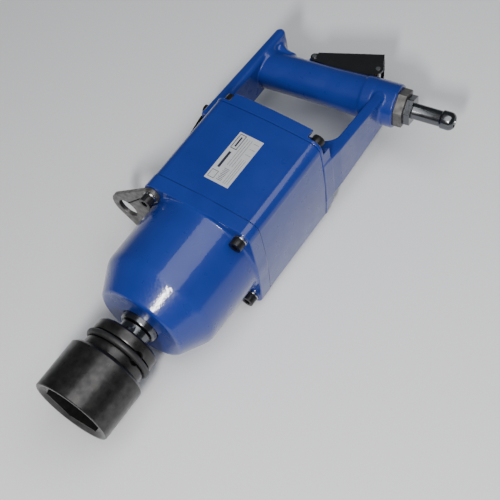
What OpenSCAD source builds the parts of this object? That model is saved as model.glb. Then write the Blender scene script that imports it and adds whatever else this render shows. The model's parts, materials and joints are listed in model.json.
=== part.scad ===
// Pneumatic impact wrench for large nuts, with a D-handle and a hexagon socket on its square drive.
// The tool axis is Y: the socket's mouth is at Y = 0 and the handle is at high Y. X runs along the
// grip towards the air inlet, and Z is up when the tool lies on its side. Millimetres.

/* [Socket] */
// Nut size across flats
hex_af = 55; // [46:1:60]
// Outside diameter of the socket's nut end
socket_od = 79; // [74:1:84]
// Length of the socket
socket_len = 84; // [80:1:88]
// Side of the square drive
drive_sq = 25.4; // [25.4:0.1:25.4]

/* [Hammer case] */
// Diameter of the nose's front face
nose_d = 90; // [86:1:94]
// Diameter at the wide end of the cone
case_d = 121; // [120:0.5:122]
// Thickness of the wall round the hammers
case_wall = 7; // [6:0.5:7]

/* [Suspension bracket] */
// Radius of the eye that the balancer's hook goes through
eye_r = 11; // [9:0.5:12]

/* [Motor housing] */
// Half of the width across the flats of the housing
housing_half = 60.5; // [60:0.5:61]
// How far each side of the housing bulges out at its middle
crown = 2; // [1:0.5:2.5]
// Distance of each flange screw from the tool axis, along X and along Z
bolt_offset = 50; // [49.5:0.5:50.5]
// Bore of the motor housing
housing_bore_d = 98; // [98:1:98]

/* [Handle] */
// Diameter of the grip
grip_d = 40.6; // [39:0.2:42]
// Angle that the grip leans back towards its air inlet end
grip_tilt = 9.5; // [9.5:0.5:9.5]
// Width of the handle's side arms
arm_width = 48; // [44:1:50]
// Outside diameter of the air hose's barb
barb_d = 16.5; // [16:0.1:17]

/* [Controls] */
// Angle between the throttle lever and the grip
lever_angle = 17.3; // [17.3:0.1:17.3]
// Outside width of the throttle lever
lever_width = 21.6; // [21:0.2:22]

/* [Hidden] */
$fn = 64;

blue = "mediumblue";
black = "dimgray";
steel = "silver";
bronze = "peru";

// stations along the tool axis
nose_y = 102.5;
cone_end_y = 132;
case_flange_y = 203;
case_joint_y = 218;
gasket_t = 0.5;
housing_y = case_joint_y + gasket_t;
housing_end_y = 319;
handle_y = housing_end_y + gasket_t;
handle_flange_end_y = 333;
rear_seat_y = 323;

// fasteners: M8 cap screws on spring washers at the flanges
screw_r = 4;
screw_head_r = 6.5;
screw_head_h = 8;
washer_r = 7;
washer_t = 2;
corner_r = 12;
bracket_t = 4.5;

// nameplate
plate_w = 27;
plate_y = 236.4;
plate_len = 59.4;
plate_z = housing_half + crown - 0.3;

// anvil and hammers
shank_r = 19;
anvil_core_r = 13;
lug_r = 19.5;
// angle of the square drive and its retaining pin about the tool axis
drive_turn = 34;
cage_r = 51;
cage_y = 146;
cage_plate_t = 7;
cage_end_y = 212;
hammer_r = 42.5;
hammer_gap = 0.5;
hammer_len = (cage_end_y - 8 - cage_y - cage_plate_t - 3 * hammer_gap) / 2;
hammer_pin_x = 35;
hammer_pin_r = 5;

// motor
rotor_r = 33;
liner_r = 37;
liner_offset = 3.5;
liner_y = 237;
liner_end_y = 303;
liner_out_r = housing_bore_d / 2 - 0.2;
vanes = 6;
vane_t = 4;
vane_depth = 13.5;
front_bearing_y = 219;
front_bearing_w = 16;
rear_bearing_y = 305;
rear_bearing_w = 14;

// handle: the grip's axis crosses the tool axis at grip_y, and s and n run along and across it
grip_r = grip_d / 2;
grip_y = 426;
boss_r = 22.6;
boss_s = 38;
inlet_s = 75;
left_out = -82;
left_in = -69;
right_in = 53.6;
right_out = 64.3;
bar_end_y = 347;
grip_bore_r = 7;
horn_y = 453;

// throttle
pivot_s = -27;
pivot_n = 23.7;
pivot_r = 2.5;
lever_t = 2;
lever_half = lever_width / 2;
lever_back_n = 7.8;
slot_half = [8.2, 11.4];
contact_s = 41;
contact_n = 30.6;
valve_s = contact_s;
valve_bush_r = 7.6;
spool_r = 5;
stem_top_n = contact_n - 2.8;

// reversing valve
reverse_y = 337.6;
reverse_bush_r = 8;
reverse_spool_r = 6;

// ---- frames and small helpers ----

// extrudes an outline drawn in X and Z, from y over a thickness
module y_plate(y, thick) {
    translate([0, y + thick, 0]) rotate([90, 0, 0]) linear_extrude(thick) children();
}

module y_rod(y, len, r) {
    translate([0, y, 0]) rotate([-90, 0, 0]) cylinder(h = len, r = r);
}

// turns a half-section of [radius, y] points about the tool axis
module turned(points) {
    rotate([-90, 0, 0]) rotate_extrude() polygon(points);
}

module x_rod(x, len, r) {
    translate([x, 0, 0]) rotate([0, 90, 0]) cylinder(h = len, r = r);
}

// the grip's own frame: X along the grip, Y to the rear, Z up
module grip_frame() {
    translate([0, grip_y, 0]) rotate([0, 0, grip_tilt]) children();
}

module n_rod(n, len, r) {
    translate([0, n, 0]) rotate([-90, 0, 0]) cylinder(h = len, r = r);
}

module z_rod(len, r) {
    translate([0, 0, -len / 2]) cylinder(h = len, r = r);
}

module at_corners(d) {
    for (x = [-d, d], z = [-d, d]) translate([x, 0, z]) children();
}

module at_dowels() {
    for (p = [[-41.3, 0], [0, 42.8]]) translate([p[0], 0, p[1]]) children();
}

function turn_point(p, a) = [p[0] * cos(a) - p[1] * sin(a), p[0] * sin(a) + p[1] * cos(a)];

function arc(centre, r, a0, a1, n) =
    [for (i = [0 : n]) centre + r * [cos(a0 + (a1 - a0) * i / n), sin(a0 + (a1 - a0) * i / n)]];

// one side of a square that bulges by c, and the rounded corner after it
function bulged_side(h, c, r) = let (
        m = h - r,
        big = (m * m + c * c) / (2 * c),
        half = asin(m / big))
    concat(
        [for (i = [-4 : 3]) [h + c - big + big * cos(half * i / 4), big * sin(half * i / 4)]],
        [for (i = [0 : 5]) [m + r * cos(18 * i), m + r * sin(18 * i)]]);

module crowned_square(h, c, r) {
    polygon([for (q = [0 : 3]) each [for (p = bulged_side(h, c, r)) turn_point(p, 90 * q)]]);
}

module rounded_rect(w, h, r) {
    square([w - 2 * r, h], center = true);
    square([w, h - 2 * r], center = true);
    for (x = [-1, 1], y = [-1, 1]) translate([x * (w / 2 - r), y * (h / 2 - r)]) circle(r);
}

module cap_screw(len, head_r = screw_head_r, head_h = screw_head_h, r = screw_r) {
    difference() {
        union() {
            rotate([-90, 0, 0]) cylinder(h = len, r = r);
            rotate([90, 0, 0]) cylinder(h = head_h, r = head_r);
        }
        translate([0, -head_h / 2, 0]) rotate([90, 0, 0]) cylinder(h = head_h, r = r * 0.92, $fn = 6);
    }
}

module bearing_ring(y, w, inner, outer) {
    color(steel) y_plate(y, w) difference() {
        circle(outer);
        circle(inner);
    }
}

module bearing_balls(y, count, pitch_r, r) {
    color(steel) for (i = [0 : count - 1]) rotate([0, 360 * i / count, 0]) {
        translate([pitch_r, y, 0]) sphere(r, $fn = 32);
    }
}

// ---- hammer case ----

module hammer_case() {
    inner = case_d / 2 - case_wall;
    color(blue) difference() {
        union() {
            turned([[19, nose_y], [nose_d / 2 - 3, nose_y], [nose_d / 2, nose_y + 2.5],
                [case_d / 2 - 1, cone_end_y - 2], [case_d / 2, cone_end_y + 2],
                [case_d / 2 + 0.8, case_flange_y + 1], [case_d / 2 + 0.8, case_joint_y],
                [19, case_joint_y]]);
            y_plate(case_flange_y, case_joint_y - case_flange_y)
                crowned_square(housing_half + 0.5, crown, corner_r);
        }
        turned([[0, nose_y - 1], [shank_r + 0.5, nose_y - 1], [shank_r + 0.5, 104.6], [24.6, 104.6],
            [24.6, 110.2], [25, 110.2], [25, 136], [38, 136], [inner, 146], [inner, case_joint_y + 1],
            [0, case_joint_y + 1]]);
        at_corners(bolt_offset) y_rod(case_flange_y - 1, 20, screw_r + 0.25);
    }
}

module nose_bush() {
    color(bronze) y_plate(110.3, 25.4) difference() {
        circle(24.95);
        circle(shank_r + 0.06);
    }
}

module nose_seal() {
    color(black) turned([[shank_r + 0.1, 104.7], [24.5, 104.7], [24.5, 110.1], [21.5, 110.1],
        [shank_r + 0.1, 107.9]]);
}

module thrust_washer() {
    color(bronze) y_plate(136.1, 2.1) difference() {
        circle(30);
        circle(shank_r + 0.3);
    }
}

module case_gasket() {
    color(black) y_plate(case_joint_y, gasket_t) difference() {
        crowned_square(housing_half - 0.3, crown, corner_r);
        circle(54.5);
        for (x = [-1, 1], z = [-1, 1]) translate([x, z] * bolt_offset) circle(screw_r + 0.3);
    }
}

// ---- motor housing ----

module motor_housing() {
    color(blue) difference() {
        y_plate(housing_y, housing_end_y - housing_y) crowned_square(housing_half, crown, corner_r);
        y_rod(housing_y - 1, housing_end_y - housing_y + 2, housing_bore_d / 2);
        at_corners(bolt_offset) y_rod(housing_y - 1, 33, screw_r + 0.1);
        at_corners(bolt_offset) y_rod(housing_end_y - 40, 41, screw_r + 0.1);
        // exhaust window, and the recess that its cover lies in
        translate([-18, 250, -70]) cube([36, 40, 40]);
        translate([-26, 240, -70]) cube([52, 60, 70 - housing_half - crown + 4]);
        for (x = [-22, 22], y = [244, 296]) translate([x, y, -64]) cylinder(h = 14, r = 1.6);
        // shallow flat that the nameplate lies in
        translate([-plate_w / 2 - 0.05, plate_y - 0.05, plate_z]) cube([plate_w + 0.1, plate_len + 0.1, 4]);
    }
}

module handle_gasket() {
    color(black) y_plate(housing_end_y, gasket_t) difference() {
        crowned_square(housing_half - 0.8, crown, corner_r);
        circle(50);
        for (x = [-1, 1], z = [-1, 1]) translate([x, z] * bolt_offset) circle(screw_r + 0.3);
    }
}

module front_flange_screws() {
    color(black) for (x = [-1, 1], z = [-1, 1]) {
        seat = (x < 0 ? case_flange_y - bracket_t : case_flange_y) - washer_t;
        translate([x * bolt_offset, seat, z * bolt_offset]) cap_screw(x < 0 ? 45 : 40);
    }
}

module rear_flange_screws() {
    color(black) at_corners(bolt_offset) translate([0, rear_seat_y + washer_t, 0]) rotate([180, 0, 0])
        cap_screw(40);
}

// a spring washer, with the gap where its ring is cut
module washer(y) {
    y_plate(y, washer_t) difference() {
        circle(washer_r);
        circle(screw_r + 0.1);
        translate([0, 6]) square([0.8, 8], center = true);
    }
}

module front_flange_washers() {
    color(steel) for (x = [-1, 1], z = [-1, 1]) translate([x * bolt_offset, 0, z * bolt_offset])
        washer((x < 0 ? case_flange_y - bracket_t : case_flange_y) - washer_t);
}

module rear_flange_washers() {
    color(steel) at_corners(bolt_offset) washer(rear_seat_y);
}

module suspension_bracket() {
    tip = [-90, 0];
    tip_r = 19.5;
    ear_r = 8.3;
    ear = [-bolt_offset, bolt_offset];
    run = ear - tip;
    // direction square to the common outer tangent of the tip and an ear
    a = atan2(run[1], run[0]) + acos((tip_r - ear_r) / norm(run));
    color(steel) y_plate(case_flange_y - bracket_t, bracket_t - 0.05) difference() {
        polygon(concat(
            arc(ear, ear_r, -20, a, 12),
            arc(tip, tip_r, a, 360 - a, 16),
            arc([ear[0], -ear[1]], ear_r, 360 - a, 380, 12)));
        translate(tip) circle(eye_r);
        circle(case_d / 2 + 1.6);
        for (z = [-1, 1]) translate([ear[0], z * ear[1]]) circle(screw_r + 0.25);
    }
}

module nameplate() {
    color("whitesmoke") translate([-plate_w / 2, plate_y, plate_z]) cube([plate_w, plate_len, 0.5]);
}

// ---- air motor ----

module motor_cylinder() {
    color(steel) difference() {
        y_rod(liner_y, liner_end_y - liner_y, liner_out_r);
        translate([liner_offset, 0, 0]) y_rod(liner_y - 1, liner_end_y - liner_y + 2, liner_r);
        // exhaust slots at the bottom
        for (y = [255 : 8 : 285]) translate([-10, y - 2, -60]) cube([20, 4, 40]);
        at_dowels() y_rod(liner_y - 1, 70, 2.05);
    }
}

module end_plate_dowels() {
    color(steel) at_dowels() y_rod(liner_y - 8, 82, 2);
}

module front_end_plate() {
    color(steel) difference() {
        y_rod(front_bearing_y, liner_y - front_bearing_y - 0.05, liner_out_r);
        y_rod(front_bearing_y - 1, front_bearing_w + 1, 31);
        y_rod(front_bearing_y, 20, 22);
        at_dowels() y_rod(liner_y - 8.5, 9, 2.05);
    }
}

module rear_end_plate() {
    color(steel) difference() {
        y_rod(liner_end_y + 0.05, housing_end_y - liner_end_y - 0.05, liner_out_r);
        y_rod(rear_bearing_y, 20, 23.5);
        y_rod(liner_end_y - 1, 20, 16);
        at_dowels() y_rod(liner_end_y - 1, 9.5, 2.05);
    }
}

module front_bearing_outer_ring() {
    bearing_ring(front_bearing_y, front_bearing_w - 0.1, 27, 30.95);
}

module front_bearing_inner_ring() {
    bearing_ring(front_bearing_y, front_bearing_w - 0.1, 15.02, 19);
}

module front_bearing_balls() {
    bearing_balls(front_bearing_y + front_bearing_w / 2, 9, 23, 3.7);
}

module rear_bearing_outer_ring() {
    bearing_ring(rear_bearing_y, rear_bearing_w - 0.1, 20.2, 23.45);
}

module rear_bearing_inner_ring() {
    bearing_ring(rear_bearing_y, rear_bearing_w - 0.1, 10.02, 13.4);
}

module rear_bearing_balls() {
    bearing_balls(rear_bearing_y + rear_bearing_w / 2, 8, 16.8, 3.1);
}

module rotor() {
    color(steel) difference() {
        union() {
            y_rod(liner_y + 0.2, liner_end_y - liner_y - 0.4, rotor_r);
            y_rod(front_bearing_y - 0.3, 19, 15);
            y_rod(rear_bearing_y - 3, 15.5, 10);
            // splined end that drives the hammer cage
            y_rod(204, 16, 11.5);
            for (i = [0 : 7]) rotate([0, 45 * i, 0]) translate([10, 204, -2]) cube([4, 14, 4]);
        }
        for (i = [0 : vanes - 1]) rotate([0, 360 * i / vanes, 0]) {
            translate([rotor_r - vane_depth - 0.5, liner_y - 1, -vane_t / 2 - 0.05])
                cube([20, liner_end_y - liner_y + 2, vane_t + 0.1]);
        }
        // centre hole that carries the anvil's tail
        y_rod(203, 8, 7.6);
    }
}

module rotor_vanes() {
    color("tan") for (i = [0 : vanes - 1]) rotate([0, 360 * i / vanes, 0]) {
        translate([rotor_r - vane_depth, liner_y + 0.3, -vane_t / 2])
            cube([vane_depth - 0.2, liner_end_y - liner_y - 0.6, vane_t]);
    }
}

module exhaust_silencer() {
    color("gainsboro") translate([-17.5, 250.5, -58.3]) cube([35, 39, 7]);
}

module exhaust_cover() {
    bottom = -housing_half - crown + 1.2;
    color(black) difference() {
        translate([-25.7, 240.3, bottom]) cube([51.4, 59.4, 2.7]);
        for (y = [254 : 6 : 286]) translate([-14, y - 1.5, bottom - 1]) cube([28, 3, 5]);
        for (x = [-22, 22], y = [244, 296]) translate([x, y, bottom - 1]) cylinder(h = 5, r = 1.7);
    }
}

module exhaust_cover_screws() {
    bottom = -housing_half - crown;
    color(steel) for (x = [-22, 22], y = [244, 296]) translate([x, y, bottom]) {
        cylinder(h = 1.15, r = 2.6);
        cylinder(h = 12, r = 1.5);
    }
}

// ---- anvil, socket and hammers ----

module anvil() {
    square_y = socket_len - 32;
    color(steel) difference() {
        union() {
            rotate([0, -drive_turn, 0]) translate([-12.6, square_y, -12.6]) cube([25.2, 90.5 - square_y, 25.2]);
            turned([[0, socket_len + 0.5], [15, socket_len + 0.5], [15, 95.4], [17.4, 96],
                [18.6, 97.2], [shank_r, 98.8], [shank_r, 138.6], [25, 138.6], [25, 143.6], [19.92, 143.6],
                [19.92, 153.2], [anvil_core_r, 153.2], [anvil_core_r, 203], [7.5, 203], [7.5, 210],
                [0, 210]]);
            intersection() {
                y_rod(153, 50, lug_r);
                translate([-30, 153, -6]) cube([60, 50, 12]);
            }
        }
        rotate([0, -drive_turn, 0]) translate([0, socket_len - 16, 0]) x_rod(-20, 40, 3.05);
    }
}

module impact_socket() {
    r = socket_od / 2;
    hex_r = (hex_af + 0.8) / 2 / cos(30);
    color(black) difference() {
        turned([[0, 0], [r - 0.8, 0], [r, 0.8], [r, 50.5], [r - 3, 53.5], [31.2, 55.5], [30.8, 63.5],
            [28.3, 64.3], [28.3, 71.7], [31.6, 72.5], [32.2, 74], [32.2, socket_len - 2],
            [30.7, socket_len], [0, socket_len]]);
        rotate([0, -5, 0]) y_rod(-1, 43, hex_r, $fn = 6);
        turned([[0, -1], [hex_r + 5.6, -1], [hex_r - 0.6, 3], [0, 3]]);
        rotate([0, -drive_turn, 0]) translate([-drive_sq / 2, 40, -drive_sq / 2])
            cube([drive_sq, socket_len - 39, drive_sq]);
        rotate([0, -drive_turn, 0]) translate([0, socket_len - 16, 0]) {
            x_rod(-40, 80, 3.05);
            for (x = [-40, 25.5]) x_rod(x, 14.5, 6.8);
        }
    }
}

module socket_retaining_pin() {
    color(steel) rotate([0, -drive_turn, 0]) translate([0, socket_len - 16, 0]) x_rod(-25.3, 50.6, 3);
}

module socket_retaining_ring() {
    color(black) translate([0, socket_len - 16, 0]) rotate([-90, 0, 0]) rotate_extrude()
        translate([31.4, 0]) circle(3.1, $fn = 32);
}

module hammer_cage() {
    plate_r = shank_r + 1;
    color(steel) difference() {
        y_rod(cage_y, cage_end_y - cage_y, cage_r);
        y_rod(cage_y + cage_plate_t, cage_end_y - 8 - cage_y - cage_plate_t, cage_r - 4.5);
        // windows beside the two bars that join the end plates
        for (x = [-1, 1]) translate([x * 55, (cage_y + cage_end_y) / 2, 0])
            cube([80, cage_end_y - 8 - cage_y - cage_plate_t, 120], center = true);
        y_rod(cage_y - 1, 10, plate_r);
        y_rod(cage_end_y - 10, 12, 11.6);
        for (i = [0 : 7]) rotate([0, 45 * i, 0]) translate([10, 203, -2.1]) cube([4.1, 12, 4.2]);
        for (x = [-1, 1]) translate([x * hammer_pin_x, 0, 0]) y_rod(cage_y - 1, 70, hammer_pin_r + 0.02);
    }
}

module hammer_pins() {
    color(steel) for (x = [-1, 1]) translate([x * hammer_pin_x, 0, 0])
        y_rod(cage_y + 0.5, cage_end_y - cage_y - 1, hammer_pin_r);
}

// a ring that swings on the pin at side x, with a notch that clears the other pin
module hammer(y, x) {
    swing = 7.8;
    slot_r = hammer_pin_r + 0.8;
    slot_x = -x * (hammer_pin_x - 0.2);
    color(steel) y_plate(y, hammer_len) difference() {
        circle(hammer_r);
        difference() {
            circle(21.5);
            for (z = [-1, 1]) translate([0, z * 24]) square([10, 7.6], center = true);
        }
        translate([x * hammer_pin_x, 0]) circle(hammer_pin_r + 0.06);
        for (z = [-swing, swing]) translate([slot_x, z]) circle(slot_r);
        translate([slot_x, 0]) square([2 * slot_r, 2 * swing], center = true);
        translate([slot_x - x * 10, 0]) square([20, 2 * swing + 2 * slot_r], center = true);
    }
}

module front_hammer() {
    hammer(cage_y + cage_plate_t + hammer_gap, 1);
}

module rear_hammer() {
    hammer(cage_y + cage_plate_t + 2 * hammer_gap + hammer_len, -1);
}

// ---- handle ----

// fills the inner corner at x, y with a hollow of radius r; sx and sy point into the opening
module corner_fillet(x, y, sx, sy, r, h) {
    translate([0, 0, -h]) linear_extrude(2 * h)
        polygon(concat([[x - sx, y - sy], [x + sx * r, y - sy]],
            arc([x + sx * r, y + sy * r], r, 270, sx > 0 ? 180 : 360, 8),
            [[x - sx, y + sy * r]]));
}

module arm(x0, x1, y0, y1) {
    translate([(x0 + x1) / 2, 0, 0]) y_plate(y0, y1 - y0) rounded_rect(x1 - x0, arm_width, 5);
}

module handle_casting() {
    color(blue) difference() {
        union() {
            y_plate(handle_y, handle_flange_end_y - handle_y)
                crowned_square(housing_half + 0.3, crown, corner_r);
            // bar across the back of the flange
            translate([left_out, (327 + bar_end_y) / 2, 0]) rotate([90, 0, 90])
                linear_extrude(right_out - left_out) rounded_rect(bar_end_y - 327, arm_width, 5);
            // shoulder that holds the reversing valve
            arm(left_out, -54, handle_y + 0.1, bar_end_y);
            // the left arm ends in a hand stop behind the grip
            arm(left_out, left_in, 322, horn_y);
            translate([0, 0, -17]) linear_extrude(34)
                polygon(concat([[left_in - 3, 436], [left_in - 3, 448]],
                    arc([-52.5, 456.5], 18.4, 206.3, 279.5, 10), [[-49, 430]]));
            // the right arm narrows towards the inlet end of the grip
            translate([right_in, 0, 0]) rotate([90, 0, 90]) linear_extrude(right_out - right_in)
                polygon([[329, -27], [331, -29.6], [345, -28.8], [431, -21.5],
                    [431, 21.5], [345, 28.8], [331, 29.6], [329, 27]]);
            corner_fillet(left_in, bar_end_y, 1, 1, 12, 19);
            corner_fillet(right_in, bar_end_y, -1, 1, 12, 19);
            grip_frame() {
                x_rod(-72, 73, grip_r);
                rotate([0, 90, 0]) cylinder(h = boss_s + 1, r1 = grip_r, r2 = 21.9);
                translate([boss_s, 0, 0]) x_rod(0, inlet_s - boss_s, boss_r);
                translate([pivot_s, pivot_n, 0]) z_rod(2 * slot_half[0], 4.8);
                translate([pivot_s - 4.8, 10, -slot_half[0]]) cube([9.6, pivot_n - 10, 2 * slot_half[0]]);
            }
        }
        at_corners(bolt_offset) y_rod(handle_y - 1, 10, screw_r + 0.25);
        at_corners(bolt_offset) y_rod(rear_seat_y, 30, 11.6);
        y_rod(handle_y - 1, 4.5, 14);
        // reversing valve bore and its two ports to the motor
        translate([0, reverse_y, 0]) x_rod(left_out - 1, 46, reverse_bush_r + 0.05);
        for (x = [-52, -44]) translate([x, handle_y - 1, 0]) rotate([-90, 0, 0]) cylinder(h = 13, r = 3);
        // air duct up the left arm, and the bore through the grip
        translate([-78.5, reverse_y, -11]) cube([6, grip_y - reverse_y - 12, 22]);
        grip_frame() {
            translate([-77, 0, 0]) x_rod(0, inlet_s + 78, grip_bore_r);
            translate([inlet_s - 20, 0, 0]) x_rod(0, 21, 13);
            translate([valve_s, 0, 0]) n_rod(-16.5, 45, valve_bush_r + 0.05);
            for (z = [slot_half[0], -slot_half[1]]) translate([pivot_s - 8, 9.5, z])
                cube([82, 20, slot_half[1] - slot_half[0]]);
            translate([pivot_s, pivot_n, 0]) z_rod(40, pivot_r + 0.05);
        }
    }
}

module reverse_valve_bush() {
    color(bronze) translate([0, reverse_y, 0]) difference() {
        x_rod(left_out + 0.2, 44, reverse_bush_r);
        x_rod(left_out - 1, 50, reverse_spool_r + 0.06);
        for (x = [-52, -44]) translate([x, -10, 0]) rotate([-90, 0, 0]) cylinder(h = 7, r = 2.8);
        translate([-76, 4, 0]) rotate([-90, 0, 0]) cylinder(h = 8, r = 2.6);
    }
}

module reverse_valve_spool() {
    color(steel) translate([0, reverse_y, 0]) difference() {
        x_rod(left_out - 0.3, 42, reverse_spool_r);
        // groove that joins the supply to one port or the other
        translate([-56, -9, 2.4]) cube([14, 18, 8]);
        x_rod(left_out - 1, 20, 3.05);
    }
}

module reverse_lever() {
    hub_x = left_out - 0.4;
    face_x = -90.6;
    color(black) translate([0, reverse_y, 0]) difference() {
        union() {
            x_rod(face_x, hub_x - face_x, 10);
            intersection() {
                translate([0, 0, -12]) linear_extrude(24)
                    polygon([[face_x + 4, 0], [face_x + 0.2, 0], [face_x + 0.8, -19], [face_x + 3.6, -45],
                        [face_x + 5.4, -49], [face_x + 8, -48], [face_x + 7.4, -44], [face_x + 4.6, -18]]);
                translate([-120, 0, 0]) rotate([90, 0, 90]) linear_extrude(80) union() {
                    polygon([[0, -9.6], [0, 9.6], [-43.5, 5.6], [-43.5, -5.6]]);
                    translate([-43.5, 0]) circle(5.6);
                }
            }
        }
        x_rod(face_x - 1, 12, 3.1);
    }
}

module reverse_lever_screw() {
    color(black) translate([-90.65, reverse_y, 0]) rotate([0, 0, -90])
        cap_screw(25, head_r = 5, head_h = 6, r = 3);
}

// ---- throttle ----

// the lever's side, with the pivot at 0; the rounded channel cuts its back edge
module lever_side() {
    polygon([[-3, -3.4], [-4.2, -0.6], [-4, 1.5], [-2.5, 3.8], [1.8, 5], [2.2, 12], [30, 21], [62, 31],
        [66.2, 30], [66.9, 27.6], [73.6, 7], [72.8, 4], [70.6, 1], [66, -2.4], [46, -8.5], [24, -7.5], [6, -5.2],
        [0, -5.4]]);
}

// a bar along the lever's back, whose two back edges have radius r; inset is how far it lies inside
module lever_channel(inset, r) {
    half = lever_half - inset;
    translate([0, lever_back_n, 0]) rotate([0, 0, lever_angle]) translate([-60, -inset, 0])
        rotate([90, 0, 90]) linear_extrude(180)
            polygon(concat([[-60, -half], [-60, half]], arc([-r, half - r], r, 90, 0, 6),
                arc([-r, r - half], r, 0, -90, 6)));
}

module throttle_lever() {
    color(black) grip_frame() translate([pivot_s, pivot_n, 0]) difference() {
        intersection() {
            translate([0, 0, -lever_half - 1]) linear_extrude(2 * lever_half + 2) lever_side();
            lever_channel(0, 3);
        }
        lever_channel(lever_t, 1);
        z_rod(40, pivot_r + 0.06);
        translate([contact_s - pivot_s, contact_n - pivot_n, 0]) z_rod(40, 2.55);
    }
}

module lever_pivot_pin() {
    color(steel) grip_frame() translate([pivot_s, pivot_n, 0]) z_rod(lever_width + 2, pivot_r);
}

module lever_contact_pin() {
    color(steel) grip_frame() translate([contact_s, contact_n, 0]) z_rod(lever_width + 1, 2.5);
}

module throttle_valve_bush() {
    color(bronze) grip_frame() translate([valve_s, 0, 0]) difference() {
        n_rod(-16.2, 38, valve_bush_r);
        n_rod(-17, 37, spool_r + 0.05);
        n_rod(0, 25, 2.6);
        // inlet port on the hose side and outlet port on the grip side
        translate([0, 6, 0]) x_rod(0, 10, 3);
        translate([-10, 0, 0]) x_rod(0, 10, 3);
    }
}

module throttle_valve_stem() {
    color(steel) grip_frame() translate([valve_s, 0, 0]) {
        n_rod(-3.5, 7, spool_r);
        n_rod(3, stem_top_n - 3, 2.5);
        n_rod(14, 5.5, spool_r);
    }
}

module throttle_valve_spring() {
    color(steel) grip_frame() translate([valve_s, 0, 0]) {
        for (i = [0 : 4]) translate([0, -15.2 + 2.5 * i, 0]) rotate([90, 0, 0]) rotate_extrude()
            translate([3.7, 0]) circle(0.65, $fn = 16);
    }
}

module inlet_bushing() {
    color(black) grip_frame() difference() {
        union() {
            translate([inlet_s + 0.05, 0, 0]) rotate([0, 90, 0]) cylinder(h = 9, r = 20.2, $fn = 6);
            x_rod(inlet_s - 19.5, 20, 12.95);
        }
        x_rod(inlet_s - 20, 40, 8);
        x_rod(inlet_s - 1, 20, 10);
    }
}

module inlet_screen() {
    color(steel) grip_frame() difference() {
        x_rod(inlet_s - 16, 15, 7.8);
        x_rod(inlet_s - 15, 15, 7);
    }
}

module hose_nipple() {
    hex_s = inlet_s + 9.2;
    color(steel) grip_frame() difference() {
        union() {
            translate([hex_s, 0, 0]) rotate([0, 90, 0]) cylinder(h = 7, r = 15.9, $fn = 6);
            x_rod(hex_s - 9, 10, 9.9);
            translate([hex_s + 6, 0, 0]) rotate([0, 90, 0]) rotate_extrude()
                polygon([[0, 0], [barb_d / 2, 0], [barb_d / 2, 30.3], [9.5, 31.3], [9.5, 39.3],
                    [9, 41.2], [7.8, 43], [6.4, 44.3], [0, 44.3]]);
        }
        x_rod(hex_s - 10, 70, 5.5);
    }
}

hammer_case();
nose_bush();
nose_seal();
thrust_washer();
case_gasket();
motor_housing();
handle_gasket();
handle_casting();
front_flange_screws();
rear_flange_screws();
front_flange_washers();
rear_flange_washers();
suspension_bracket();
nameplate();
motor_cylinder();
front_end_plate();
rear_end_plate();
end_plate_dowels();
front_bearing_outer_ring();
rear_bearing_outer_ring();
exhaust_silencer();
exhaust_cover();
exhaust_cover_screws();
reverse_valve_bush();
throttle_valve_bush();
throttle_valve_spring();
lever_pivot_pin();
inlet_bushing();
inlet_screen();
hose_nipple();
anvil();
impact_socket();
socket_retaining_pin();
socket_retaining_ring();
hammer_cage();
hammer_pins();
rotor();
rotor_vanes();
front_bearing_inner_ring();
rear_bearing_inner_ring();
front_bearing_balls();
rear_bearing_balls();
front_hammer();
rear_hammer();
throttle_lever();
lever_contact_pin();
throttle_valve_stem();
reverse_valve_spool();
reverse_lever();
reverse_lever_screw();
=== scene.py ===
"""Pneumatic impact wrench with a D-handle and a hexagon socket, lying on a pale floor.

Lengths are in millimetres until a mesh is made, and the frame is part.scad's: Y is the tool axis,
from the socket's mouth to the handle, X runs towards the air inlet, and Z is up.
"""
import json
import math

import bmesh
import bpy
import numpy as np
from mathutils import Matrix, Vector


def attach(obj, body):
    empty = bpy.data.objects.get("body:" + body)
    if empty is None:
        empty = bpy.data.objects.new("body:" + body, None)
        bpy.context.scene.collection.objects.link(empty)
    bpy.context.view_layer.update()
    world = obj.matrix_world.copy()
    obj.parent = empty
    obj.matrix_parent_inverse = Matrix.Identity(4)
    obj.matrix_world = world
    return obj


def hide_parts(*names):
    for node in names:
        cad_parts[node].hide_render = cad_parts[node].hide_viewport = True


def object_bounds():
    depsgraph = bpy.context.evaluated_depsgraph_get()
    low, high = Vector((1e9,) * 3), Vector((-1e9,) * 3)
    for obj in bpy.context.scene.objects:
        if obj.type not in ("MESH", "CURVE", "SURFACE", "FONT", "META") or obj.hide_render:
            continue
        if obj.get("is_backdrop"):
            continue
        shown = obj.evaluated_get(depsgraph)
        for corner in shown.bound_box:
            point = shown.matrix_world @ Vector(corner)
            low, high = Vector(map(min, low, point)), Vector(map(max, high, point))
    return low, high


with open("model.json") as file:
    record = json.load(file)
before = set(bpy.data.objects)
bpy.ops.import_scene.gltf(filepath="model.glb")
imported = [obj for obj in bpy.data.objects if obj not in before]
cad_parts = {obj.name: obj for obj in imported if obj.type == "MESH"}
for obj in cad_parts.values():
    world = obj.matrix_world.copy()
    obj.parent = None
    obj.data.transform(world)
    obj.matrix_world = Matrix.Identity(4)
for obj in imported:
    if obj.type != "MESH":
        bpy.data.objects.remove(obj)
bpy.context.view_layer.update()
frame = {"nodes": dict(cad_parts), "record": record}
nodes = frame["nodes"]
MM = 0.001

# stations along the tool axis
NOSE_Y = 102.5
CONE_END_Y = 132
CASE_FLANGE_Y = 203
CASE_JOINT_Y = 218
HOUSING_Y = 218.5
HOUSING_END_Y = 319
HANDLE_Y = 319.5
HANDLE_FLANGE_END_Y = 333
REAR_SEAT_Y = 323

# ---------------------------------------------------------------- camera

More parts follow.
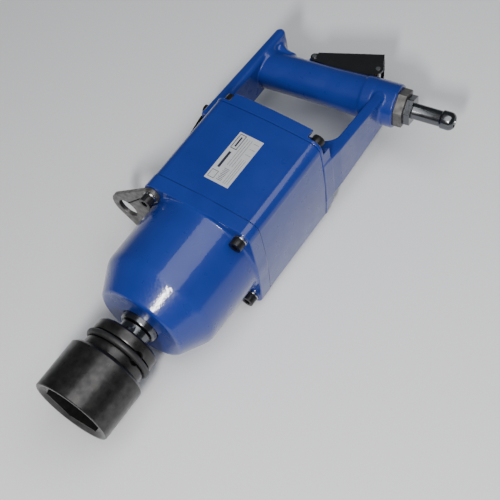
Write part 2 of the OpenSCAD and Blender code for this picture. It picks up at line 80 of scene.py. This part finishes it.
CAMERA_AZIMUTH = math.radians(44.78)
CAMERA_ELEVATION = math.radians(57.84)
CAMERA_ROLL = math.radians(-11.82)
CAMERA_TARGET = Vector((41.16, 220.76, 0)) * MM
CAMERA_DISTANCE = 1.0415
CAMERA_LENS = 79.2


def make_camera():
    data = bpy.data.cameras.new("camera")
    data.lens = CAMERA_LENS
    data.sensor_width = 36
    camera = bpy.data.objects.new("camera", data)
    bpy.context.scene.collection.objects.link(camera)
    back = Vector((math.sin(CAMERA_AZIMUTH) * math.cos(CAMERA_ELEVATION),
                   -math.cos(CAMERA_AZIMUTH) * math.cos(CAMERA_ELEVATION),
                   math.sin(CAMERA_ELEVATION)))
    level = Vector((0, 0, 1)).cross(back).normalized()
    up0 = back.cross(level)
    right = math.cos(CAMERA_ROLL) * level + math.sin(CAMERA_ROLL) * up0
    up = math.cos(CAMERA_ROLL) * up0 - math.sin(CAMERA_ROLL) * level
    turn = Matrix((right, up, back)).transposed().to_4x4()
    camera.matrix_world = Matrix.Translation(CAMERA_TARGET + back * CAMERA_DISTANCE) @ turn
    bpy.context.scene.camera = camera


make_camera()

# ---------------------------------------------------------------- materials


class Look:
    """One node-based material, with short calls for the nodes that they share."""

    def __init__(self, name, color, rough, metal=0.0, **sockets):
        self.material = bpy.data.materials.new(name)
        self.material.use_nodes = True
        self.tree = self.material.node_tree
        self.shader = self.tree.nodes["Principled BSDF"]
        self.coords = self.tree.nodes.new("ShaderNodeTexCoord").outputs["Object"]
        self.set("Base Color", (*color, 1))
        self.set("Roughness", rough)
        self.set("Metallic", metal)
        for socket, value in sockets.items():
            self.set(socket.replace("_", " "), value)
        self.height = None

    def set(self, socket, value):
        self.shader.inputs[socket].default_value = value

    def add(self, kind, **values):
        node = self.tree.nodes.new(kind)
        for key, value in values.items():
            setattr(node, key, value)
        return node

    def link(self, a, b):
        self.tree.links.new(a, b)

    def noise(self, size_mm, detail=3.0, rough=0.5, stretch=(1, 1, 1)):
        """Noise whose features are about size_mm across."""
        mapping = self.add("ShaderNodeMapping")
        mapping.inputs["Scale"].default_value = stretch
        self.link(self.coords, mapping.inputs["Vector"])
        node = self.add("ShaderNodeTexNoise")
        node.inputs["Scale"].default_value = 1 / (size_mm * MM)
        node.inputs["Detail"].default_value = detail
        node.inputs["Roughness"].default_value = rough
        self.link(mapping.outputs["Vector"], node.inputs["Vector"])
        return node.outputs["Fac"]

    def remap(self, value, low, high, from_low=0.3, from_high=0.7):
        """Spreads the usual span of a noise over low to high."""
        node = self.add("ShaderNodeMapRange")
        for socket, number in (("From Min", from_low), ("From Max", from_high),
                               ("To Min", low), ("To Max", high)):
            node.inputs[socket].default_value = number
        self.link(value, node.inputs["Value"])
        return node.outputs["Result"]

    def multiply(self, a, b):
        node = self.add("ShaderNodeMath", operation="MULTIPLY")
        self.link(a, node.inputs[0])
        self.link(b, node.inputs[1])
        return node.outputs[0]

    def color_from(self, factor, a, b):
        """The base colour goes from a to b as the factor goes from 0 to 1."""
        node = self.add("ShaderNodeMix", data_type="RGBA")
        self.link(factor, node.inputs[0])
        node.inputs[6].default_value = (*a, 1)
        node.inputs[7].default_value = (*b, 1)
        self.link(node.outputs[2], self.shader.inputs["Base Color"])

    def rough_from(self, value, low, high):
        self.link(self.remap(value, low, high), self.shader.inputs["Roughness"])

    def bump(self, value, depth_mm):
        """Adds a bump on top of those before it."""
        node = self.add("ShaderNodeBump")
        node.inputs["Distance"].default_value = depth_mm * MM
        node.inputs["Strength"].default_value = 1
        self.link(value, node.inputs["Height"])
        if self.height is not None:
            self.link(self.height, node.inputs["Normal"])
        self.height = node.outputs["Normal"]
        self.link(self.height, self.shader.inputs["Normal"])

    def edges(self):
        """A factor that is high on convex edges."""
        return self.remap(self.add("ShaderNodeNewGeometry").outputs["Pointiness"], 0, 1, 0.53, 0.6)


def blue_enamel():
    look = Look("blue_enamel", (0.01, 0.03, 0.22), 0.32, Coat_Weight=0.6, Coat_Roughness=0.05,
                Specular_IOR_Level=0.25)
    look.color_from(look.remap(look.noise(45, 2), 0, 1), (0.008, 0.026, 0.2), (0.011, 0.034, 0.235))
    look.rough_from(look.noise(12), 0.26, 0.36)
    look.bump(look.noise(14, 2), 0.12)
    look.bump(look.noise(1.8, 2), 0.02)
    # the cone, up to where its wide end meets the barrel, is left rougher, as cast
    split = look.add("ShaderNodeSeparateXYZ")
    look.link(look.coords, split.inputs[0])
    cone = look.remap(split.outputs[1], 1, 0, (CONE_END_Y - 2) * MM, (CONE_END_Y + 2) * MM)
    look.bump(look.multiply(look.noise(2.6, 3, 0.55), cone), 0.14)
    look.link(look.height, look.shader.inputs["Coat Normal"])
    return look.material


def black_socket_steel():
    look = Look("black_socket_steel", (0.05, 0.048, 0.048), 0.32, 0.85)
    look.color_from(look.remap(look.noise(7, 4), 0, 1), (0.034, 0.033, 0.035), (0.066, 0.064, 0.062))
    look.rough_from(look.noise(5, 4), 0.26, 0.38)
    look.bump(look.noise(0.5, 2), 0.012)
    look.bump(look.noise(14, 2, stretch=(0.15, 9, 0.15)), 0.01)
    return look.material


def black_oxide():
    look = Look("black_oxide", (0.016, 0.016, 0.018), 0.3, 0.6)
    look.rough_from(look.noise(3, 3), 0.24, 0.4)
    # painted highlight: the convex edges are mixed towards a light grey, standing in for the glints
    # along them
    look.color_from(look.edges(), (0.014, 0.014, 0.016), (0.09, 0.09, 0.092))
    look.bump(look.noise(0.6, 2), 0.01)
    return look.material


def bright_steel():
    look = Look("bright_steel", (0.55, 0.55, 0.56), 0.2, 1.0)
    look.rough_from(look.noise(6, 3), 0.16, 0.3)
    # turning marks run round the tool axis
    look.bump(look.noise(5, 2, stretch=(0.2, 6, 0.2)), 0.006)
    return look.material


def grey_plate():
    look = Look("grey_plate", (0.15, 0.146, 0.142), 0.42, 0.85)
    look.color_from(look.remap(look.noise(6, 4), 0, 1), (0.1, 0.097, 0.094), (0.2, 0.195, 0.19))
    look.rough_from(look.noise(4, 4), 0.32, 0.55)
    look.bump(look.noise(0.8, 3), 0.02)
    return look.material


def lever_enamel():
    look = Look("lever_enamel", (0.006, 0.006, 0.007), 0.2, Coat_Weight=1.0, Coat_Roughness=0.05)
    look.rough_from(look.noise(10), 0.18, 0.3)
    look.bump(look.noise(5, 2), 0.06)
    look.bump(look.noise(1.1, 2), 0.02)
    return look.material


def polished_steel():
    look = Look("polished_steel", (0.13, 0.135, 0.145), 0.2, 1.0)
    look.rough_from(look.noise(8, 3), 0.14, 0.28)
    look.bump(look.noise(3, 2), 0.008)
    return look.material


def plate_print():
    look = Look("plate_silver", (0.62, 0.63, 0.66), 0.34, 0.3)
    look.rough_from(look.noise(4, 3), 0.3, 0.42)
    look.bump(look.noise(0.5, 2), 0.006)
    return look.material


def simple(name, dark, light, rough, metal=0.0, grain=0.8, depth=0.02):
    """A material mottled from dark to light, with a fine grain."""
    look = Look(name, light, rough, metal)
    look.color_from(look.remap(look.noise(5, 4), 0, 1), dark, light)
    look.rough_from(look.noise(3, 3), rough * 0.85, min(rough * 1.15, 1))
    look.bump(look.noise(grain, 3), depth)
    return look.material


LOOKS = {
    "blue_enamel": blue_enamel(),
    "black_socket": black_socket_steel(),
    "dark_steel": black_oxide(),
    "bright_steel": bright_steel(),
    "grey_steel": grey_plate(),
    "lever_black": lever_enamel(),
    "barb_steel": polished_steel(),
    "plate_silver": plate_print(),
    "bronze": simple("bronze", (0.35, 0.2, 0.08), (0.45, 0.27, 0.11), 0.3, 1.0),
    "rubber": simple("rubber", (0.012, 0.012, 0.013), (0.02, 0.02, 0.021), 0.5),
    "gasket": simple("gasket", (0.002, 0.012, 0.08), (0.003, 0.016, 0.1), 0.4),
    "vane": simple("vane", (0.28, 0.17, 0.08), (0.38, 0.24, 0.12), 0.55),
    "felt": simple("felt", (0.42, 0.39, 0.33), (0.58, 0.55, 0.48), 0.95, grain=0.5, depth=0.2),
}
INK = simple("ink", (0.012, 0.014, 0.03), (0.02, 0.022, 0.045), 0.45)

# ---------------------------------------------------------------- distance fields of the castings

# the housing's cross-section: its sides bulge out, and its corners are rounded
CROWN = 2
CORNER_R = 12
BOLT = 50
SPOT_FACE_R = 11.6

# the grip's axis crosses the tool axis at GRIP_Y; s and n run along it and across it
GRIP_TILT = math.radians(9.5)
GRIP_Y = 426
GRIP_R = 20.3
BOSS_R = 22.6
INLET_S = 75

# the opening for the hand, between the side arms and behind the bar across the flange
LEFT_IN = -69
RIGHT_IN = 53.6
BAR_END_Y = 347
ARM_HALF = 24
LEFT_ARM_END_Y = 453
RIGHT_ARM_END_Y = 431

# the throttle lever's pivot and its two slots, and the throttle valve's bore
PIVOT_S = -27
PIVOT_N = 23.7
SLOT_IN = 8.2
SLOT_OUT = 11.4
VALVE_S = 41
VALVE_BORE_R = 7.75


def soft_min(a, b, k):
    """Either a or b, blended over a width of k."""
    return np.minimum(a, b) - np.maximum(k - np.abs(a - b), 0) ** 2 / (4 * k)


def soft_max(a, b, k):
    """Both a and b, with a soft edge of width k."""
    return -soft_min(-a, -b, k)


def round_max(a, b, r):
    """Both a and b, with the edge between them rounded to radius r."""
    a, b = a + r, b + r
    return np.hypot(np.maximum(a, 0), np.maximum(b, 0)) + np.minimum(np.maximum(a, b), 0) - r


def round_min(a, b, r):
    """Either a or b, with a hollow of radius r between them."""
    return -round_max(-a, -b, r)


def slab(v, low, high):
    """The layer between low and high."""
    return np.abs(v - (low + high) / 2) - (high - low) / 2


def crowned(x, z, half):
    """A square with bulging sides and rounded corners, in X and Z."""
    flat = half - CORNER_R
    dx = np.abs(x) - half - CROWN * (1 - np.minimum((z / flat) ** 2, 1))
    dz = np.abs(z) - half - CROWN * (1 - np.minimum((x / flat) ** 2, 1))
    return round_max(dx, dz, CORNER_R)


def at_bolts(x, z):
    """The distance from the nearest flange screw's axis."""
    return np.hypot(np.abs(x) - BOLT, np.abs(z) - BOLT)


def case_field(x, y, z):
    r = np.hypot(x, z)
    barrel = r - 60.5 - 0.8 * (y - CONE_END_Y) / 71
    cone = (r - 45 - (y - NOSE_Y) * 0.5254) * 0.885
    body = round_max(round_max(soft_max(barrel, cone, 2), NOSE_Y - y, 2.5), y - CASE_JOINT_Y, 0.3)
    flange = round_max(crowned(x, z, 61), slab(y, CASE_FLANGE_Y, CASE_JOINT_Y), 0.9)
    d = soft_min(body, flange, 4)
    cavity = np.maximum(r - 53.5, 140 - y)
    bush_bore = np.maximum(r - 24.6, 104.6 - y)
    shank_hole = r - 19.5
    return soft_max(d, -np.minimum(np.minimum(cavity, bush_bore), shank_hole), 0.8)


def housing_field(x, y, z):
    d = round_max(crowned(x, z, 60.5), slab(y, HOUSING_Y, HOUSING_END_Y), 0.35)
    d = soft_max(d, 49 - np.hypot(x, z), 0.6)
    # the exhaust cover's recess, and the window behind it
    recess = round_max(np.maximum(slab(x, -26, 26), slab(y, 240, 300)), z + 58.5, 0.5)
    window = np.maximum(np.maximum(slab(x, -18, 18), slab(y, 250, 290)), z + 30)
    return soft_max(d, -np.minimum(recess, window), 0.8)


def side_arms(x, y, z):
    """The bar and side arms: one outline in X and Y round the opening for the hand."""
    opening = np.maximum(round_max(LEFT_IN - x, BAR_END_Y - y, 11),
                         round_max(x - RIGHT_IN, BAR_END_Y - y, 15))
    # the outer faces lean a little, and the right one runs on from the flange's side
    left_face = -83.8 + 0.0326 * (y - 344)
    right_face = 62.6 + 1.7 * np.clip((y - 322) / 24, 0, 1)
    sides = np.maximum(np.maximum(left_face - x, x - right_face), -opening)
    end = np.where(x < 0, LEFT_ARM_END_Y, RIGHT_ARM_END_Y)
    outline = np.maximum(round_max(sides, y - end, 6), 319.6 - y)
    # the right arm is wider, and narrows towards the inlet
    wider = 4.8 - 0.085 * np.clip(y - 345, -20, 86)
    width = ARM_HALF + wider * np.clip((x - 20) / 30, 0, 1)
    return round_max(outline, np.abs(z) - width, np.where(x > 0, 2, 5))


def hand_stop(x, y, z):
    """The hollow side of the hand stop, which runs down to the grip."""
    hollow = np.maximum(18.4 - np.hypot(x + 52.5, y - 456.5), x + 49.4)
    block = np.maximum(np.maximum(hollow, np.maximum(430 - y, y - 448.4)), -76 - x)
    return round_max(block, np.abs(z) - 17, 8)


def handle_field(x, y, z):
    s = x * math.cos(GRIP_TILT) + (y - GRIP_Y) * math.sin(GRIP_TILT)
    n = (y - GRIP_Y) * math.cos(GRIP_TILT) - x * math.sin(GRIP_TILT)
    radial = np.hypot(n, z)
    az = np.abs(z)
    flange = round_max(crowned(x, z, 60.8), slab(y, HANDLE_Y, HANDLE_FLANGE_END_Y), 0.9)
    d = round_min(flange, side_arms(x, y, z), 1.5)
    grip = round_max(radial - GRIP_R - 1.5 * np.clip(s / 38, 0, 1), slab(s, -74, 52), 4)
    boss = round_max(radial - BOSS_R, slab(s, 38.5, INLET_S), 1.6)
    hand = soft_min(grip, boss, 2)
    d = round_min(d, hand, np.where(x > 0, 2, 4 + 2 * np.tanh(n / 5)))
    d = soft_min(d, hand_stop(x, y, z), 4)
    # the lug that carries the lever's pivot
    lug_side = np.minimum(np.hypot(s - PIVOT_S, n - PIVOT_N) - 4.8,
                          np.maximum(slab(s, PIVOT_S - 4.8, PIVOT_S + 4.8), slab(n, 5, PIVOT_N)))
    d = soft_min(d, round_max(lug_side, az - SLOT_IN, 0.6), 3)
    slots = np.maximum(np.maximum(slab(s, -35, 47), slab(n, 9.5, 40)), slab(az, SLOT_IN, SLOT_OUT))
    valve_bore = np.maximum(np.hypot(s - VALVE_S, z) - VALVE_BORE_R, -16.5 - n)
    d = soft_max(soft_max(d, -slots, 0.8), -valve_bore, 0.4)
    spot_faces = round_max(at_bolts(x, z) - SPOT_FACE_R, slab(y, REAR_SEAT_Y, 345), 0.5)
    return soft_max(d, -spot_faces, 1)


def graded(low, high, step, edges):
    """Stations from low to high, set closer beside the sharp edges."""
    stations = [low]
    while stations[-1] < high:
        near = min((abs(stations[-1] - e) for e in edges), default=99)
        stations.append(stations[-1] + (step if near > step + 1.2 else 0.3 * step))
    return np.array(stations)


def surface_net(field, axes, step):
    """Vertices, their outward normals, and quads of the field's zero surface."""
    count = [len(a) for a in axes]
    d = field(*np.meshgrid(*axes, indexing="ij"))
    cells = tuple(k - 1 for k in count)
    total = np.zeros((3, cells[0] * cells[1] * cells[2]))
    hits = np.zeros(total.shape[1])
    quads = []
    for a in range(3):
        b, c = (a + 1) % 3, (a + 2) % 3
        d0 = d[tuple(slice(0, -1) if i == a else slice(None) for i in range(3))]
        d1 = d[tuple(slice(1, None) if i == a else slice(None) for i in range(3))]
        at = np.argwhere((d0 < 0) != (d1 < 0))
        inside = [(at[:, i] > 0) & (at[:, i] < count[i] - 1) for i in (b, c)]
        at = at[inside[0] & inside[1]]
        v0, v1 = d0[tuple(at.T)], d1[tuple(at.T)]
        point = at.astype(float)
        point[:, a] += v0 / (v0 - v1)
        ring = []
        for db, dc in ((-1, -1), (0, -1), (0, 0), (-1, 0)):
            cell = at.copy()
            cell[:, b] += db
            cell[:, c] += dc
            flat = np.ravel_multi_index(tuple(cell.T), cells)
            ring.append(flat)
            hits += np.bincount(flat, minlength=len(hits))
            for i in range(3):
                total[i] += np.bincount(flat, weights=point[:, i], minlength=len(hits))
        ring = np.stack(ring, axis=1)
        quads.append(np.where((v0 >= 0)[:, None], ring[:, ::-1], ring))
    used = np.flatnonzero(hits)
    place = np.zeros(len(hits), dtype=np.int64)
    place[used] = np.arange(len(used))
    points = np.empty((len(used), 3))
    for i in range(3):
        points[:, i] = np.interp(total[i, used] / hits[used], np.arange(count[i]), axes[i])
    for _ in range(4):
        value, slope = field(*points.T), gradient(field, points)
        move = (value / np.maximum((slope ** 2).sum(1), 0.2))[:, None] * slope
        points -= np.clip(move, -0.5 * step, 0.5 * step)
    normal = gradient(field, points)
    normal /= np.maximum(np.linalg.norm(normal, axis=1), 1e-6)[:, None]
    return points, normal, place[np.concatenate(quads)]


def gradient(field, points, h=0.15):
    slope = np.empty_like(points)
    for i in range(3):
        ahead, behind = points.copy(), points.copy()
        ahead[:, i] += h
        behind[:, i] -= h
        slope[:, i] = (field(*ahead.T) - field(*behind.T)) / (2 * h)
    return slope


def casting(name, field, low, high, edges):
    """Meshes a field inside a box; edges are the stations of the sharp edges on each axis."""
    axes = [graded(a, b, STEP, e) for a, b, e in zip(low, high, edges)]
    points, normal, quads = surface_net(field, axes, STEP)
    mesh = bpy.data.meshes.new(name)
    mesh.vertices.add(len(points))
    mesh.vertices.foreach_set("co", (points * MM).ravel())
    mesh.loops.add(quads.size)
    mesh.loops.foreach_set("vertex_index", quads.ravel())
    mesh.polygons.add(len(quads))
    mesh.polygons.foreach_set("loop_start", np.arange(0, quads.size, 4))
    mesh.update(calc_edges=True)
    mesh.validate()
    mesh.polygons.foreach_set("use_smooth", np.ones(len(mesh.polygons), dtype=bool))
    mesh.normals_split_custom_set_from_vertices(normal)
    piece = bpy.data.objects.new(name, mesh)
    bpy.context.scene.collection.objects.link(piece)
    mesh.materials.append(LOOKS["blue_enamel"])
    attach(piece, "casing")
    return piece


STEP = 1.2
SLOT_MIDDLE = (SLOT_IN + SLOT_OUT) / 2
case = casting("hammer_case_enamel", case_field, (-66, 99, -66), (66, 221, 66),
               ((), (CASE_FLANGE_Y, CASE_JOINT_Y), ()))
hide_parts("hammer_case")
housing = casting("motor_housing_enamel", housing_field, (-66, 215, -66), (66, 322, 66),
                  ((), (HOUSING_Y, HOUSING_END_Y), ()))
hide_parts("motor_housing")
handle = casting("handle_casting_enamel", handle_field, (-88, 316, -66), (82, 461, 66),
                 ((), (HANDLE_Y, HANDLE_FLANGE_END_Y), (-SLOT_MIDDLE, SLOT_MIDDLE)))
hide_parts("handle_casting")

# ---------------------------------------------------------------- carried-over CAD nodes

# width of the bevel on each node's sharp edges
BEVELS = {
    "impact_socket": 0.5, "suspension_bracket": 0.5,
    "front_flange_screws": 0.5, "rear_flange_screws": 0.5,
    "front_flange_washers": 0.25, "rear_flange_washers": 0.25, "nameplate": 0.12,
    "throttle_lever": 0.7, "inlet_bushing": 0.6, "hose_nipple": 0.5, "reverse_lever": 0.8,
    "reverse_lever_screw": 0.5, "anvil": 0.4, "exhaust_cover": 0.4, "exhaust_cover_screws": 0.3,
    "lever_pivot_pin": 1.1, "lever_contact_pin": 0.8,
}
slots = {s["node"]: s["material_slot"] for s in frame["record"]["subparts"]}
for name, piece in nodes.items():
    piece.data.materials.clear()
    piece.data.materials.append(LOOKS[slots[name]])
    if name in BEVELS:
        weld = piece.modifiers.new("weld", "WELD")
        weld.merge_threshold = 0.00001
        bevel = piece.modifiers.new("bevel", "BEVEL")
        bevel.width = BEVELS[name] * MM
        bevel.segments = 3
        bevel.limit_method = "ANGLE"
        bevel.angle_limit = math.radians(32)
        bevel.harden_normals = True

# ---------------------------------------------------------------- nameplate

PLATE_TOP = 62.73


def plate_marks():
    """Plain rules, boxes and bars printed on the nameplate; they stand for no real mark."""
    tool = bmesh.new()

    def bar(x0, y0, x1, y1):
        corners = ((x0, y0), (x1, y0), (x1, y1), (x0, y1))
        tool.faces.new([tool.verts.new((x * MM, y * MM, PLATE_TOP * MM)) for x, y in corners])

    def box(x0, y0, x1, y1, t):
        bar(x0, y0, x1, y0 + t)
        bar(x0, y1 - t, x1, y1)
        bar(x0, y0 + t, x0 + t, y1 - t)
        bar(x1 - t, y0 + t, x1, y1 - t)

    box(-11.6, 276, -4.6, 294, 0.7)
    bar(-9, 279, -7.2, 291)
    box(-11.6, 239, -4.6, 248, 0.5)
    for x in (-2.4, 0.2, 2.8):
        bar(x, 258, x + 0.35, 292)
    for x in (6, 8.2, 10.4):
        bar(x, 239, x + 0.3, 270)
    for y in (276, 283, 290):
        bar(5.6, y, 11.6, y + 0.3)
    bar(-9.6, 252, -7, 272)
    for i in range(9):
        bar(-2.2 + 0.8 * (i % 2), 240 + 1.7 * i, 3.4, 240.5 + 1.7 * i)
    data = bpy.data.meshes.new("nameplate_marks")
    tool.to_mesh(data)
    tool.free()
    data.materials.append(INK)
    piece = bpy.data.objects.new("nameplate_marks", data)
    bpy.context.scene.collection.objects.link(piece)
    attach(piece, "casing")


plate_marks()

# ---------------------------------------------------------------- stage and light


def floor():
    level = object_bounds()[0][2]
    data = bpy.data.meshes.new("floor")
    tool = bmesh.new()
    bmesh.ops.create_grid(tool, x_segments=2, y_segments=2, size=6)
    tool.to_mesh(data)
    tool.free()
    piece = bpy.data.objects.new("floor", data)
    piece.location = (0, 0, level - 0.0002)
    bpy.context.scene.collection.objects.link(piece)
    look = Look("floor", (0.8, 0.81, 0.83), 0.7)
    look.bump(look.noise(3, 2), 0.02)
    data.materials.append(look.material)
    piece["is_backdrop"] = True


def area_light(name, place, width, height, power, target=None, color=(1, 1, 1)):
    """A soft box; without a target it faces straight down."""
    data = bpy.data.lights.new(name, "AREA")
    data.shape = "RECTANGLE"
    data.size = width
    data.size_y = height
    data.energy = power
    data.color = color
    lamp = bpy.data.objects.new(name, data)
    lamp.location = place
    if target:
        lamp.rotation_euler = (Vector(target) - Vector(place)).to_track_quat("-Z", "Y").to_euler()
    bpy.context.scene.collection.objects.link(lamp)


def lights():
    world = bpy.data.worlds.new("world")
    bpy.context.scene.world = world
    world.use_nodes = True
    world.node_tree.nodes["Background"].inputs["Color"].default_value = (0.85, 0.92, 1, 1)
    world.node_tree.nodes["Background"].inputs["Strength"].default_value = 0.12
    # a wide soft box above the tool, and a small lamp whose streak runs down the cone
    area_light("overhead", (0.43, 0.15, 1.1), 0.95, 1.5, 13)
    area_light("key", (0.49, -0.69, 0.96), 0.11, 0.22, 15, (0.02, 0.11, 0.04), (1, 0.98, 0.95))


floor()
lights()
